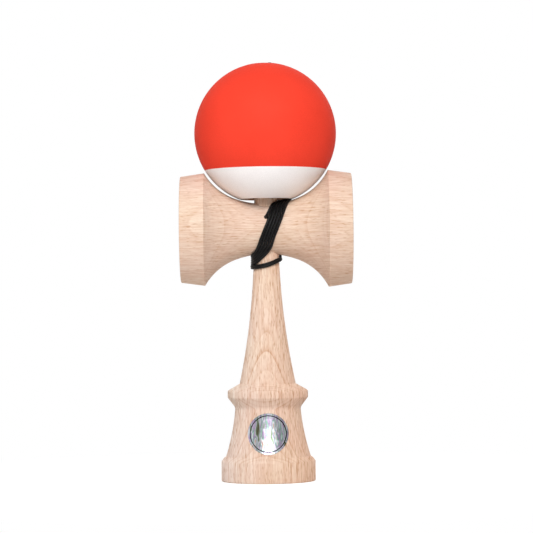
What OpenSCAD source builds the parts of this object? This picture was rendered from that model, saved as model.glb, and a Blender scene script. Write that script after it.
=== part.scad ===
// Kendama: a turned ken, a cross piece with two cups, and a ball tied on with a string.
// The ken stands on its foot at z = 0, the cross piece lies along X with the big cup at +X,
// and the front, where the string leaves the cross piece, is at -Y. Millimetres.

/* [Ken] */
// Height of the ken from its foot to the tip of the spike
ken_h = 152; // [146:0.5:152.5]
// Diameter of the foot
foot_d = 39.7; // [37.5:0.1:44]
// Height of the straight band of the foot
foot_h = 8.3; // [5:0.1:9.5]
// Rounding of the foot's lower edge
foot_edge_r = 0.6; // [0.2:0.1:0.9]
// Diameter at the foot of the base cup's cone
cone_low_d = 35.7; // [33:0.1:37]
// Height at which the base cup's cone starts
cone_low_z = 10.5; // [10:0.1:12]
// Diameter of the neck under the ring
neck_d = 27.5; // [24:0.1:30]
// Height of the neck
neck_z = 31; // [28:0.1:32.5]
// Radius of the hollow side of the cone
cone_hollow_r = 95; // [60:1:200]
// Diameter of the ring
ring_d = 33.9; // [31:0.1:38]
// Height of the ring's lower corner
ring_low_z = 35.2; // [34:0.1:36]
// Height of the ring's upper corner
ring_top_z = 38.1; // [37.2:0.1:39]
// Rounding of the ring's corners
ring_round_r = 0.9; // [0.3:0.1:1.1]
// Diameter of the shaft at its foot, on the ring
shaft_d = 23.7; // [20:0.1:26]
// Height at which the shaft starts
shaft_z = 41; // [40:0.1:43]
// Radius of the hollow side of the shaft
shaft_hollow_r = 300; // [200:5:600]
// Diameter of the taper where the cross piece seats, at its lower end
seat_low_d = 10.6; // [9.6:0.1:11]
// Diameter of the taper at its upper end
seat_top_d = 8.8; // [8:0.1:9]
// Diameter of the spike just under its tip
tip_d = 4.8; // [3.5:0.1:6]
// Diameter of the base cup's mouth
base_cup_d = 34.8; // [30:0.1:36]

/* [Cross piece] */
// Height of the cross piece's axis above the foot
sarado_z = 106.3; // [105.5:0.1:107]
// Half of the cross piece's length
sarado_half = 36.1; // [33:0.1:42]
// Diameter of the waist
waist_d = 21.2; // [20.6:0.1:21.4]
// Radius of the hollow at the waist
waist_hollow_r = 38; // [36:0.5:46]
// Distance from the middle at which the waist's hollow ends
waist_half = 13; // [12:0.1:15]
// Diameter of the big cup's flange
big_flange_d = 49.4; // [46:0.1:52]
// Distance of the big cup's flange from the middle
big_flange_x = 26.3; // [25.5:0.1:29]
// Diameter of the big cup's rim
big_rim_d = 46.6; // [45:0.1:48]
// Diameter of the big cup's mouth
big_mouth_d = 43; // [38:0.1:44]
// Diameter of the small cup's flange
small_flange_d = 47.6; // [44:0.1:50]
// Distance of the small cup's flange from the middle
small_flange_x = 26; // [25:0.1:29]
// Diameter of the small cup's rim
small_rim_d = 44.8; // [43:0.1:46]
// Diameter of the small cup's mouth
small_mouth_d = 40.4; // [36:0.1:42]
// Radius of the hollow of all three cups
cup_r = 30.5; // [29:0.1:34]
// Rounding of the flanges and rims
rim_round_r = 0.7; // [0.2:0.1:0.8]
// Edge break inside the mouths of the cups
mouth_break = 0.4; // [0.1:0.1:0.5]
// Height of the string hole above the cross piece's axis
string_hole_rise = 4.7; // [4:0.1:5]
// Diameter of the string hole
string_hole_d = 1.7; // [1.5:0.1:2]
// Diameter of the pocket that holds the stopper knot
knot_pocket_d = 3.6; // [3.4:0.1:4]
// Clearance between the ken's taper and its bore, on the radius
seat_clear = 0.05; // [0.02:0.01:0.1]

/* [Ball] */
// Diameter of the ball over its paint
tama_d = 60; // [58:0.1:64]
// Thickness of the paint
coat_t = 0.25; // [0.1:0.05:0.4]
// Height of the white band above the hole's lip
band_h = 12.3; // [8:0.1:18]
// Diameter of the hole's lip
lip_d = 22.4; // [22:0.1:24]
// Diameter of the hole above its bevel
hole_d = 21.2; // [20.8:0.1:21.8]
// Height of the bevel
bevel_h = 1.5; // [0.5:0.1:3]
// Diameter of the hole at its upper end
hole_top_d = 16.4; // [14:0.1:20]
// Depth of the hole from its lip
hole_depth = 44; // [43.5:0.1:48]
// Diameter of the ball's string hole
tama_string_d = 3; // [2:0.1:4]
// Diameter of the string hole's countersink
sink_d = 7.6; // [7:0.1:9]
// Clearance between the ball and the cross piece
seat_gap = 0.3; // [0.2:0.05:0.6]

/* [String] */
// Diameter of the string
string_d = 1.2; // [0.8:0.05:1.2]
// Diameter at which the wound turns are drawn, so that turns that press together stay apart
wound_d = 0.5; // [0.4:0.05:0.5]
// Number of diagonal turns
turns = 5; // [3:1:5]
// Diameter of the stopper knot
knot_d = 2.8; // [2.2:0.1:3.2]
// Diameter of the bead
bead_d = 9; // [7:0.1:12]
// Height of the bead
bead_h = 6; // [4:0.1:6.4]
// Clearance of the bead and the knots in their seats
bead_gap = 0.3; // [0.1:0.05:0.4]

/* [Foil sticker] */
// Diameter of the sticker
sticker_d = 17; // [10:0.5:19]
// Height of the sticker's middle
sticker_z = 20.5; // [20:0.1:21]
// Thickness of the sticker
sticker_t = 0.12; // [0.08:0.01:0.2]
// Thickness of its glue
glue_t = 0.02; // [0.01:0.01:0.05]

/* [Hidden] */
$fn = 96;
beech = "#EBCDB4";
bare_beech = "#E3C3A4";
red_paint = "#F1503C";
white_paint = "#F4EFEE";
black_string = "#1C1B1D";
foil = "#C9CBD1";
// Largest turn between two neighbouring points of a round stretch of an outline
arc_step = 3;
// How far a cutting tool passes the face that it cuts
pass = 1;

waist_r = waist_d / 2;
seat_low_z = sarado_z - waist_r;
seat_top_z = sarado_z + waist_r;
tip_r = tip_d / 2;
tama_r = tama_d / 2;
lip_r = lip_d / 2;

// Points from a to b on a circle of radius |r|. Going up an outline, a positive radius
// swells outwards and a negative one is hollow.
function arc(a, b, r) =
    let (d = b - a,
        right = [d.y, -d.x] / norm(d),
        c = (a + b) / 2 - sign(r) * right * sqrt(max(0, r * r - d * d / 4)),
        sweep = 2 * asin(min(1, norm(d) / 2 / abs(r))),
        from = atan2(a.y - c.y, a.x - c.x),
        n = max(2, ceil(sweep / arc_step)))
    [for (i = [0 : n]) c + abs(r) * [cos(from + sign(r) * sweep * i / n),
        sin(from + sign(r) * sweep * i / n)]];

// The corner p between its neighbours a and b, rounded with radius r.
function rounded(a, p, b, r) =
    let (u = (a - p) / norm(a - p),
        v = (b - p) / norm(b - p),
        half = acos(u * v) / 2,
        t = r / tan(half))
    arc(p + u * t, p + v * t, r);

// Profile of the base cup's cone, which the sticker follows too
cone_line = arc([cone_low_d / 2, cone_low_z], [neck_d / 2, neck_z], -cone_hollow_r);

// Outline of the ken from the foot's middle to the tip, as radius and height
foot_r = foot_d / 2;
ring_r = ring_d / 2;
foot_shoulder_r = 6;
ken_line = concat(
    [[0, 0]],
    rounded([0, 0], [foot_r, 0], [foot_r, foot_h], foot_edge_r),
    arc([foot_r, foot_h], cone_line[0], foot_shoulder_r),
    cone_line,
    rounded([neck_d / 2, neck_z], [ring_r, ring_low_z], [ring_r, ring_top_z], ring_round_r),
    rounded([ring_r, ring_low_z], [ring_r, ring_top_z], [shaft_d / 2, shaft_z], ring_round_r),
    arc([shaft_d / 2, shaft_z], [seat_low_d / 2, seat_low_z], -shaft_hollow_r),
    [[seat_top_d / 2, seat_top_z]],
    arc([tip_r, ken_h - tip_r], [0, ken_h], tip_r));

// Radius of the cross piece at a distance x from its middle, within the waist's hollow
function waist_at(x) = waist_r + waist_hollow_r - sqrt(waist_hollow_r * waist_hollow_r - x * x);

// Hollow side of one cup from the waist's hollow to the flange: an arc that goes on smoothly
function cove(flange_d, flange_x) =
    let (a = [waist_at(waist_half), waist_half],
        b = [flange_d / 2, flange_x],
        tilt = asin(waist_half / waist_hollow_r),
        inwards = [cos(tilt), -sin(tilt)],
        r = (b - a) * (b - a) / 2 / ((b - a) * inwards))
    arc(a, b, -r);

// Outline of half the cross piece, from the waist to the rim, as radius and distance
function cup_line(flange_d, flange_x, rim_d) =
    let (side = cove(flange_d, flange_x),
        flange = side[len(side) - 1],
        rim = [rim_d / 2, sarado_half])
    concat(
        arc([waist_r, 0], side[0], -waist_hollow_r),
        [for (p = side) if (norm(p - flange) > 2 * rim_round_r) p],
        rounded(side[len(side) - 2], flange, rim, rim_round_r),
        rounded(flange, rim, [0, sarado_half], rim_round_r),
        [[0, sarado_half], [0, 0]]);

// The ball sits on the waist with the lip of its hole, and on the flanges where they are higher
function over(x, z, r) = z + sqrt(r * r - x * x);
tama_z = seat_gap + max(
    over(lip_r, sarado_z + waist_at(lip_r), tama_r),
    over(big_flange_x, sarado_z + big_flange_d / 2, tama_r),
    over(small_flange_x, sarado_z + small_flange_d / 2, tama_r));
lip_z = tama_z - sqrt(tama_r * tama_r - lip_r * lip_r);
hole_top_z = lip_z + hole_depth;

// Hollow of a cup: a ball that cuts the mouth out of a rim at the origin, and a break of its edge
module cup_cut(mouth_d) {
    translate([0, 0, sqrt(cup_r * cup_r - mouth_d * mouth_d / 4)]) sphere(cup_r);
    translate([0, 0, -mouth_break])
        cylinder(h = 2 * mouth_break, d1 = mouth_d, d2 = mouth_d + 4 * mouth_break);
}

module ken() {
    color(beech) difference() {
        rotate_extrude() polygon(ken_line);
        mirror([0, 0, 1]) cup_cut(base_cup_d);
    }
}

// The stopper knot's pocket, measured from the ken's axis
string_z = sarado_z + string_hole_rise;
seat_slope = (seat_top_d - seat_low_d) / 2 / (seat_top_z - seat_low_z);
bore_r = seat_low_d / 2 + seat_slope * (string_z - seat_low_z) + seat_clear;
knot_y = bore_r + bead_gap + knot_d / 2;
pocket_y = knot_y + knot_d / 2 + bead_gap;

module sarado() {
    color(beech) difference() {
        translate([0, 0, sarado_z]) rotate([0, 90, 0]) difference() {
            union() {
                rotate_extrude() polygon(cup_line(big_flange_d, big_flange_x, big_rim_d));
                mirror([0, 0, 1]) rotate_extrude()
                    polygon(cup_line(small_flange_d, small_flange_x, small_rim_d));
            }
            translate([0, 0, sarado_half]) cup_cut(big_mouth_d);
            mirror([0, 0, 1]) translate([0, 0, sarado_half]) cup_cut(small_mouth_d);
        }
        // Tapered bore for the ken
        translate([0, 0, seat_low_z - pass]) cylinder(
            h = seat_top_z - seat_low_z + 2 * pass,
            r1 = seat_low_d / 2 - seat_slope * pass + seat_clear,
            r2 = seat_top_d / 2 + seat_slope * pass + seat_clear);
        // String hole from the front, with the knot's pocket on the bore's side
        translate([0, 0, string_z]) rotate([90, 0, 0]) {
            cylinder(h = waist_d, d = string_hole_d);
            cylinder(h = pocket_y, d = knot_pocket_d);
        }
    }
}

module tama() {
    color(bare_beech) translate([0, 0, tama_z]) difference() {
        sphere(tama_r - coat_t);
        tama_hole();
        tama_string_hole();
    }
}

// The large hole over the spike, from the ball's centre: lip, bevel, tapered wall
lip_below = tama_z - lip_z;
module tama_hole() {
    rotate_extrude() polygon([
        [0, -tama_r], [lip_r, -tama_r], [lip_r, -lip_below],
        [hole_d / 2, bevel_h - lip_below],
        [hole_top_d / 2, hole_depth - lip_below], [0, hole_depth - lip_below]]);
}

// The small hole on top, with its countersink
sink_h = (sink_d - tama_string_d) / 2;
module tama_string_hole() {
    cylinder(h = tama_r + pass, d = tama_string_d);
    translate([0, 0, tama_r - sink_h])
        cylinder(h = 2 * sink_h, d1 = tama_string_d, d2 = sink_d + 2 * sink_h);
}

// Paint on the ball between two heights, measured from its centre
border = band_h - lip_below;
module coat(low, high) {
    translate([0, 0, tama_z]) difference() {
        intersection() {
            sphere(tama_r);
            translate([-tama_r, -tama_r, low]) cube([tama_d, tama_d, high - low]);
        }
        sphere(tama_r - coat_t);
        tama_hole();
        tama_string_hole();
    }
}

module red_coat() {
    color(red_paint) coat(border, tama_r);
}

module white_coat() {
    color(white_paint) coat(-tama_r, border);
}

// A round patch of foil that follows the cone
module foil_sticker() {
    under = [for (p = cone_line) p + [glue_t, 0]];
    outer = [for (i = [len(cone_line) - 1 : -1 : 0]) cone_line[i] + [glue_t + sticker_t, 0]];
    color(foil) intersection() {
        rotate_extrude() polygon(concat(under, outer));
        translate([0, 0, sticker_z]) rotate([90, 0, 0]) cylinder(h = foot_d, d = sticker_d);
    }
}

// The stopper knot in its pocket
module stopper_knot() {
    color(black_string) translate([0, -knot_y, string_z]) sphere(d = knot_d);
}

// Wound string. A turn has 12 places: 0 left of the shaft, 1 on its front, 2 to 5 up the front
// of the waist, 6 on top right of the spike, then the same down the back. A place is laid from
// the number k of the strand, counted from the left strand of the front and growing steadily.
places = 12;
rings_between = 2;
// Distance of the strands' middle from the wood
strand_off = 0.64;
// Step, first place and slope of the strands on the waist
front_pitch = 1.3;
front_x = -0.45;
front_slope = 0.394;
// Step and first height of the strands left of the shaft
side_pitch = 1;
side_z = sarado_z - 11.65;
// First place and step of the strands beside the spike
top_x = 5.6;
top_pitch = 0.96;
// How far along its way from the shaft's side to the waist a strand has moved out, risen and turned
wrap_near = 0.5;
wrap_rise = 0.2;
wrap_turn = 0.55;

// Radius of the shaft at a height, by the chords of its outline
function shaft_at(z) = lookup(z, [for (p = ken_line) if (p.y > shaft_z - 0.001) [p.y, p.x]]);

// A place on the waist, at an angle round its axis, front or back
function on_waist(m, k, side) =
    let (angle = 36 * m - 126,
        x = m == 6 ? top_x + top_pitch * (k + 0.75)
            : front_x + front_pitch * k + front_slope * (waist_r + strand_off) * sin(angle),
        r = waist_at(x) + strand_off)
    [x, side * r * cos(angle), sarado_z + r * sin(angle)];

function beside_shaft(k) =
    let (z = side_z - side_pitch * (k + 0.25))
    [-shaft_at(z) - strand_off, 0, z];

// A place between the shaft's side and the waist, turned about the shaft
function on_wrap(k, side) =
    let (a = beside_shaft(k),
        b = on_waist(2, k, side),
        angle = 180 + wrap_turn * (atan2(abs(b.y), b.x) - 180),
        r = -a.x + wrap_near * (norm([b.x, b.y]) + a.x))
    [r * cos(angle), side * r * sin(angle), a.z + wrap_rise * (b.z - a.z)];

function place(turn, j) =
    let (m = j <= 6 ? j : 12 - j,
        side = j <= 6 ? -1 : 1,
        k = turn + (j - 3) / places)
    m == 0 ? beside_shaft(k) : m == 1 ? on_wrap(k, side) : on_waist(m, k, side);

// A place on the loops round the shaft, which rise to the right
loop_rise = 2.6;
function on_loop(n, j) =
    let (angle = 180 + 360 * j / places,
        z = side_z - side_pitch * (turns + n + j / places) + loop_rise * (1 - cos(angle - 180)) / 2,
        r = shaft_at(z) + strand_off)
    [r * cos(angle), r * sin(angle), z];

// The string's way out of its hole, and from the loops to the back of the waist
lead_out = [[0, -knot_y - knot_d / 2 - bead_gap, string_z], [0, -9.6, string_z],
    [0.5, -10.55, string_z + 0.9], [1.5, -9.3, string_z + 2.75]];
lead_back = [[6.3, -0.2, 90.8], [6.7, 2.7, 91.2], [6.8, 4.9, 93], [6.6, 7.4, 96], [6.1, 9.7, 99.1],
    [5.6, 10.6, 100.9], [5.9, 11, 101.9]];

wound_places = concat(
    lead_out,
    [for (j = [5 : places - 1]) place(-1, j)],
    [for (n = [0 : turns - 1]) for (j = [0 : places - 1]) place(n, j)],
    [for (j = [0 : places - 1]) on_loop(0, j)],
    [for (j = [0 : 5]) on_loop(1, j)],
    lead_back);

// A smooth line through places: each stretch is a cubic that keeps its neighbours' direction
function smooth_point(a, b, c, d, t) =
    b + t / 2 * ((c - a) + t * ((2 * a - 5 * b + 4 * c - d) + t * (3 * b - a - 3 * c + d)));
function smooth(p, n) =
    let (last = len(p) - 1)
    concat(
        [for (i = [0 : last - 1]) for (s = [0 : n - 1])
            smooth_point(p[max(0, i - 1)], p[i], p[i + 1], p[min(last, i + 2)], s / n)],
        [p[last]]);

// A point of the line, moved out where it would dip into the waist or the shaft
function laid(p) =
    let (r = norm([p.y, p.z - sarado_z]),
        need = waist_at(p.x) + strand_off,
        q = r < need ? [p.x, p.y * need / r, sarado_z + (p.z - sarado_z) * need / r] : p,
        s = norm([q.x, q.y]),
        want = shaft_at(q.z) + strand_off)
    s < want ? [q.x * want / s, q.y * want / s, q.z] : q;
smooth_line = smooth(wound_places, rings_between);
wound_line = [for (i = [0 : len(smooth_line) - 1])
    i < rings_between * len(lead_out) ? smooth_line[i] : laid(smooth_line[i])];

function unit(v) = v / norm(v);
function along(p, i) = unit(p[min(i + 1, len(p) - 1)] - p[max(i - 1, 0)]);

// A tube of triangles along a line. Its rings are turned towards the point that aim gives.
function ring(p, i, aim, r, sides) =
    let (t = along(p, i),
        v = p[i] - aim,
        u = unit(v - (v * t) * t),
        w = cross(t, u))
    [for (s = [0 : sides - 1]) p[i] + r * (cos(360 * s / sides) * u + sin(360 * s / sides) * w)];

module tube(p, aim, d, sides) {
    rings = len(p);
    points = [for (i = [0 : rings - 1]) each ring(p, i, aim, d / 2, sides)];
    walls = [for (i = [0 : rings - 2]) for (s = [0 : sides - 1])
        let (a = i * sides + s, b = i * sides + (s + 1) % sides)
        each [[a, a + sides, b], [b, a + sides, b + sides]]];
    start = [for (s = [1 : sides - 2]) [0, s, s + 1]];
    end = [for (f = start) [f[0], f[2], f[1]] + (rings - 1) * sides * [1, 1, 1]];
    polyhedron(points, concat(walls, start, end));
}

// Least gap between stretches of a tube that are not neighbours along it
function to_stretch(p, a, b) =
    let (t = min(1, max(0, (p - a) * (b - a) / ((b - a) * (b - a)))))
    norm(p - a - t * (b - a));
function least_gap(p, d, apart) = min([for (i = [0 : len(p) - 1]) for (j = [0 : len(p) - 2])
    if (abs(i - j) > apart) to_stretch(p[i], p[j], p[j + 1])]) - d;
function length(p, i = 1) = i < len(p) ? norm(p[i] - p[i - 1]) + length(p, i + 1) : 0;

module string_winding() {
    echo(least_gap_mm = least_gap(wound_line, wound_d, 6), length_mm = length(wound_line));
    color(black_string) tube(wound_line, [0, 0, sarado_z], wound_d, 6);
}

// Free string up the back of the ball and down its string hole, as distance from the ken's
// axis and height, in one upright plane
run_turn = 62;
run_route = [[12.5, 102], [15.6, 108.3], [18.7, 114.6], [21.8, 120.8], [24.9, 127.1], [27.8, 133],
    [29.6, 137.6], [30.7, 142.6], [31, 147.5], [30.5, 152.4], [29.1, 157.3], [27, 161.9], [24.2, 166.1],
    [20.7, 169.8], [16.6, 172.9], [12.1, 175.3], [8.2, 176.6], [5.8, 177.1], [3.9, 177.2], [2.4, 176.8],
    [1.2, 175.9], [0.4, 174.5], [0, 172.8], [0, 168.5], [0, 164.5], [0, 160.5], [0, 156.4]];
run_line = [for (p = run_route) [p.x * cos(run_turn), p.x * sin(run_turn), p.y]];

module string_run() {
    color(black_string) tube(run_line, [100 * sin(run_turn), -100 * cos(run_turn), tama_z], string_d, 8);
}

// The bead under the top of the hole, drilled for the string
bead_z = hole_top_z - bead_gap - bead_h;
module bead() {
    color(bare_beech) translate([0, 0, bead_z]) difference() {
        intersection() {
            translate([0, 0, bead_h / 2]) sphere(d = bead_d);
            cylinder(h = bead_h, d = bead_d);
        }
        translate([0, 0, -pass]) cylinder(h = bead_h + 2 * pass, d = string_d + 4 * bead_gap);
    }
}

module bead_knot() {
    color(black_string) translate([0, 0, bead_z - bead_gap - knot_d / 2]) sphere(d = knot_d);
}

ken();
sarado();
tama();
red_coat();
white_coat();
foil_sticker();
stopper_knot();
string_winding();
string_run();
bead();
bead_knot();
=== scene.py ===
# %% [markdown]
# # A kendama, dressed for its portrait
# A kendama is three turned pieces of beech, a string and a bead. The solids come from the packed
# frame. This lesson turns the same outlines again as fine meshes, winds the string at its real
# thickness and gives each surface its finish.

# %% The frame
from math import acos, asin, atan2, ceil, cos, degrees, pi, radians, sin, sqrt, tan

import bmesh
import bpy
from mathutils import Matrix, Vector


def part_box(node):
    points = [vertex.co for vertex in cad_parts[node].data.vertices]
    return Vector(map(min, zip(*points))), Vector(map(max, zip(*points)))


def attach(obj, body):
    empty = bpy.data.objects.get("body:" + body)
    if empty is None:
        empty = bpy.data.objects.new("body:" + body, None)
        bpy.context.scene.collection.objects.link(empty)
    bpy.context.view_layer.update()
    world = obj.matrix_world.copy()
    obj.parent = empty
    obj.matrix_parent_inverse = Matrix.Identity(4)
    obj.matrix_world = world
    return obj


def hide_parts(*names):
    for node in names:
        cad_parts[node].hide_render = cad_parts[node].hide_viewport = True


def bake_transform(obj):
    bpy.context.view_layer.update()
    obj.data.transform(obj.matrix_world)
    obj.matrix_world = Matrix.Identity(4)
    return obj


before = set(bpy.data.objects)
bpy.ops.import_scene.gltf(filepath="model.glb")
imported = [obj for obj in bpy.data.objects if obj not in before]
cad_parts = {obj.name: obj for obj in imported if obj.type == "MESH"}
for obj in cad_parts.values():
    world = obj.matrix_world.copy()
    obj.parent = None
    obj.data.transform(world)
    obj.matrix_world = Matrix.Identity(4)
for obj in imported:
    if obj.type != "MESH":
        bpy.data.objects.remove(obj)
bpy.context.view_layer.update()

MM = 0.001

# %% [markdown]
# ## Camera
# The picture is taken from the front with a long lens, from a little below the toy's middle, looking
# slightly up. The focal length was fitted in pixels of the picture, and its share of the picture's
# width gives the lens. The camera is rolled by about half a degree, as the photograph is.

# %% Camera
CAMERA_PLACE = (-0.2 * MM, -943 * MM, 71 * MM)
LOOK_UP = radians(1.18)
ROLL = radians(0.6)
FOCAL_PIXELS = 2230
PICTURE_PIXELS = 533
SENSOR_WIDTH = 36

camera = bpy.data.objects.new("camera", bpy.data.cameras.new("camera"))
camera.data.sensor_width = SENSOR_WIDTH
camera.data.lens = FOCAL_PIXELS / PICTURE_PIXELS * SENSOR_WIDTH
camera.location = CAMERA_PLACE
camera.rotation_euler = (pi / 2 + LOOK_UP, ROLL, 0)
bpy.context.scene.collection.objects.link(camera)
bpy.context.scene.camera = camera
print("lens, mm:", round(camera.data.lens, 1))

# %% [markdown]
# ## Materials: the helpers
# Colours are written as sRGB hex values and turned to linear by one function. Another adds a node
# with its settings and links, so that each material below reads as a short list of steps. A plain
# number stands for a grey wherever a colour ramp only steers a roughness or a mix.


# %% Colour and node helpers
def linear(hex_colour):
    """An sRGB hex colour as linear RGBA."""
    parts = [int(hex_colour[i:i + 2], 16) / 255 for i in (1, 3, 5)]
    return [c / 12.92 if c <= 0.04045 else ((c + 0.055) / 1.055) ** 2.4 for c in parts] + [1]


def grey(value):
    return [value, value, value, 1]


def add(tree, kind, settings=None, stops=(), **inputs):
    """Adds a node. Settings are its attributes, and stops the places and tones of a colour ramp.
    Inputs are values or sockets, by name, or by place after an underscore: a Mix of colours takes
    them at 6 and 7, and gives its result at output 2."""
    node = tree.nodes.new("ShaderNode" + kind)
    for key, value in (settings or {}).items():
        setattr(node, key, value)
    for i, (at, tone) in enumerate(stops):
        elements = node.color_ramp.elements
        element = elements[i] if i < len(elements) else elements.new(at)
        element.position = at
        element.color = linear(tone) if isinstance(tone, str) else grey(tone)
    for key, value in inputs.items():
        name = int(key[1:]) if key[0] == "_" and key[1:].isdigit() else key.replace("_", " ")
        if isinstance(value, bpy.types.NodeSocket):
            tree.links.new(value, node.inputs[name])
        else:
            node.inputs[name].default_value = value
    return node


def new_material(name):
    material = bpy.data.materials.new(name)
    material.use_nodes = True
    return material, material.node_tree, material.node_tree.nodes["Principled BSDF"]


COLOURS = {"data_type": "RGBA"}
MULTIPLIED = {"data_type": "RGBA", "blend_type": "MULTIPLY"}
print("sRGB #808080 in linear:", round(linear("#808080")[0], 3))

# %% [markdown]
# ## Braided string
# The string is a round braid of black polyester. A braid is two sets of strands that cross in a
# diamond pattern. Modelling each strand would take far more faces than a thread of this size can
# show, so two waves draw them: one runs round and along, and the other the opposite way. The tube
# carries its own UV map, so the diamonds follow it round every turn.

# %% Braided string
STRANDS_ROUND = 4
BRAID_PITCH = 1.5 * MM
# Loose fibres are finer than this; they are drawn as coarse as they need to be to show.
FUZZ = 0.2 * MM


def braid(name, length):
    """Black braid on a tube of that length, whose UV map runs along and round it."""
    # To the eye: a soft black that never goes glossy, with a faint shine on each strand's crown and
    # painted shade between the strands.
    material, tree, shader = new_material(name)
    place = add(tree, "TexCoord")
    split = add(tree, "SeparateXYZ", Vector=place.outputs["UV"])
    lengthwise, round_it = split.outputs[0], split.outputs[1]
    waves = []
    for way in (1, -1):
        crossing = add(tree, "Math", {"operation": "MULTIPLY"}, _0=round_it,
                       _1=way * STRANDS_ROUND * 2 * pi)
        phase = add(tree, "Math", {"operation": "MULTIPLY_ADD"}, _0=lengthwise,
                    _1=2 * pi * length / BRAID_PITCH, _2=crossing.outputs[0])
        waves.append(add(tree, "Math", {"operation": "SINE"}, _0=phase.outputs[0]).outputs[0])
    weave = add(tree, "Math", {"operation": "MULTIPLY"}, _0=waves[0], _1=waves[1])
    height = add(tree, "MapRange", Value=weave.outputs[0], From_Min=-1.0, From_Max=1.0).outputs[0]
    fuzz = add(tree, "TexNoise", Vector=place.outputs["Object"], Scale=1 / FUZZ,
               Detail=2.0).outputs["Fac"]
    # Darker where the weave is low and lighter on the crowns: painted shade between the strands.
    body = add(tree, "ValToRGB", stops=[(0.1, "#030303"), (0.9, "#0C0B0D")], Fac=height)
    dust = add(tree, "ValToRGB", stops=[(0.4, "#D8D8D8"), (0.75, "#FFFFFF")], Fac=fuzz)
    colour = add(tree, "Mix", MULTIPLIED, Factor=1.0, _6=body.outputs[0], _7=dust.outputs[0])
    rough = add(tree, "ValToRGB", stops=[(0.3, 0.55), (0.7, 0.42)], Fac=fuzz)
    bump = add(tree, "Bump", Strength=0.5, Distance=0.12 * MM, Height=height)
    tree.links.new(colour.outputs[2], shader.inputs["Base Color"])
    tree.links.new(rough.outputs[0], shader.inputs["Roughness"])
    tree.links.new(bump.outputs[0], shader.inputs["Normal"])
    shader.inputs["Specular IOR Level"].default_value = 0.16
    shader.inputs["Sheen Weight"].default_value = 0.03
    shader.inputs["Sheen Roughness"].default_value = 0.5
    return material


print("braid:", STRANDS_ROUND, "strands each way,", BRAID_PITCH / MM, "mm a turn")

# %% [markdown]
# ## String: what it lies on
# The string is wound over the waist of the cross piece and round the ken's shaft. Both are turned
# shapes with hollow sides, so their radii come from circles. They could be measured on the solids,
# but two short formulas are exact, and the lathe uses the same arcs further down.

# %% Waist and shaft, in millimetres
sarado_z = 106.3
waist_r = 10.6
waist_hollow_r = 38
seat_low_r = 5.3
seat_top_r = 5
shaft_foot = (11.85, 41)
shaft_hollow_r = 300
seat_low_z = sarado_z - waist_r
seat_top_z = sarado_z + waist_r
ken_h = 152
tip_r = 2.4


def waist_at(x):
    return waist_r + waist_hollow_r - sqrt(waist_hollow_r ** 2 - x * x)


def arc(a, b, r, step=2.0):
    """Points from a to b on a circle of radius |r|: a positive radius swells, a negative is hollow."""
    d = (b[0] - a[0], b[1] - a[1])
    span = sqrt(d[0] ** 2 + d[1] ** 2)
    rise = sqrt(max(0, r * r - span * span / 4)) * (1 if r > 0 else -1)
    c = ((a[0] + b[0]) / 2 - d[1] / span * rise, (a[1] + b[1]) / 2 + d[0] / span * rise)
    sweep = 2 * asin(min(1, span / 2 / abs(r)))
    start = atan2(a[1] - c[1], a[0] - c[0])
    n = max(3, ceil(degrees(sweep) / step))
    way = 1 if r > 0 else -1
    return [(c[0] + abs(r) * cos(start + way * sweep * i / n),
             c[1] + abs(r) * sin(start + way * sweep * i / n)) for i in range(n + 1)]


shaft_line = arc(shaft_foot, (seat_low_r, seat_low_z), -shaft_hollow_r, step=0.5)
shaft_line += [(seat_top_r, seat_top_z), (tip_r, ken_h - tip_r)]


def shaft_at(z):
    for low, high in zip(shaft_line, shaft_line[1:]):
        if low[1] <= z <= high[1]:
            return low[0] + (high[0] - low[0]) * (z - low[1]) / (high[1] - low[1])
    return shaft_line[-1][0]


print("waist radius, mm:", round(waist_at(0), 2), "shaft radius below it:", round(shaft_at(90), 2))

# %% [markdown]
# ## String: one turn
# A turn goes up the front of the waist, over its top beside the spike, down its back and round the
# shaft's left side. It has twelve places. Each turn lies a pitch further than the last, so a place
# depends on k, the number of turns wound when the string gets there. Winding by formula keeps the
# turns side by side, which points set by hand wouldn't.

# %% The places of a turn
places = 12
waist_place = 2
front_place = 3
top_place = 6
quarter = front_place / places
# The places on the waist are this many degrees apart, and the strand's middle this far off the wood.
waist_step = 36
strand_off = 0.64
front_pitch = 1.3
front_x = -0.45
front_slope = 0.394
side_pitch = 0.8
side_z = sarado_z - 11.65
top_x = 5.6
top_pitch = 0.96
# The place between shaft and waist: its share of the way outwards, upwards and round.
wrap_near = 0.5
wrap_rise = 0.2
wrap_turn = 0.55


def on_waist(m, k, side):
    angle = radians(90 - waist_step * (top_place - m))
    x = front_x + front_pitch * k + front_slope * (waist_r + strand_off) * sin(angle)
    if m == top_place:
        x = top_x + top_pitch * (k + 1 - quarter)
    r = waist_at(x) + strand_off
    return Vector((x, side * r * cos(angle), sarado_z + r * sin(angle)))


def beside_shaft(k):
    z = side_z - side_pitch * (k + quarter)
    return Vector((-shaft_at(z) - strand_off, 0, z))


def on_wrap(k, side):
    """The place between the shaft's side and the waist."""
    a, b = beside_shaft(k), on_waist(waist_place, k, side)
    angle = pi + wrap_turn * (atan2(abs(b.y), b.x) - pi)
    r = -a.x + wrap_near * (sqrt(b.x ** 2 + b.y ** 2) + a.x)
    return Vector((r * cos(angle), side * r * sin(angle), a.z + wrap_rise * (b.z - a.z)))


def turn_place(turn, j):
    """Place j of a turn: 0 left of the shaft, 6 on top, with the front before it and the back after."""
    m, side = (j, -1) if j <= top_place else (places - j, 1)
    k = turn + (j - front_place) / places
    return beside_shaft(k) if m == 0 else on_wrap(k, side) if m == 1 else on_waist(m, k, side)


print("top of the first turn, mm:", [round(x, 2) for x in turn_place(0, top_place)])

# %% [markdown]
# ## String: a smooth line on the wood
# A real string has no corners and lies on what it is wound round. A curve object could smooth the
# places by itself, but its points would still cut through the wood between them. So cubics join
# the places, and a point that would dip into the wood is moved out to its surface.

# %% Smooth a line and lay it on the wood
roundness = 6


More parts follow.
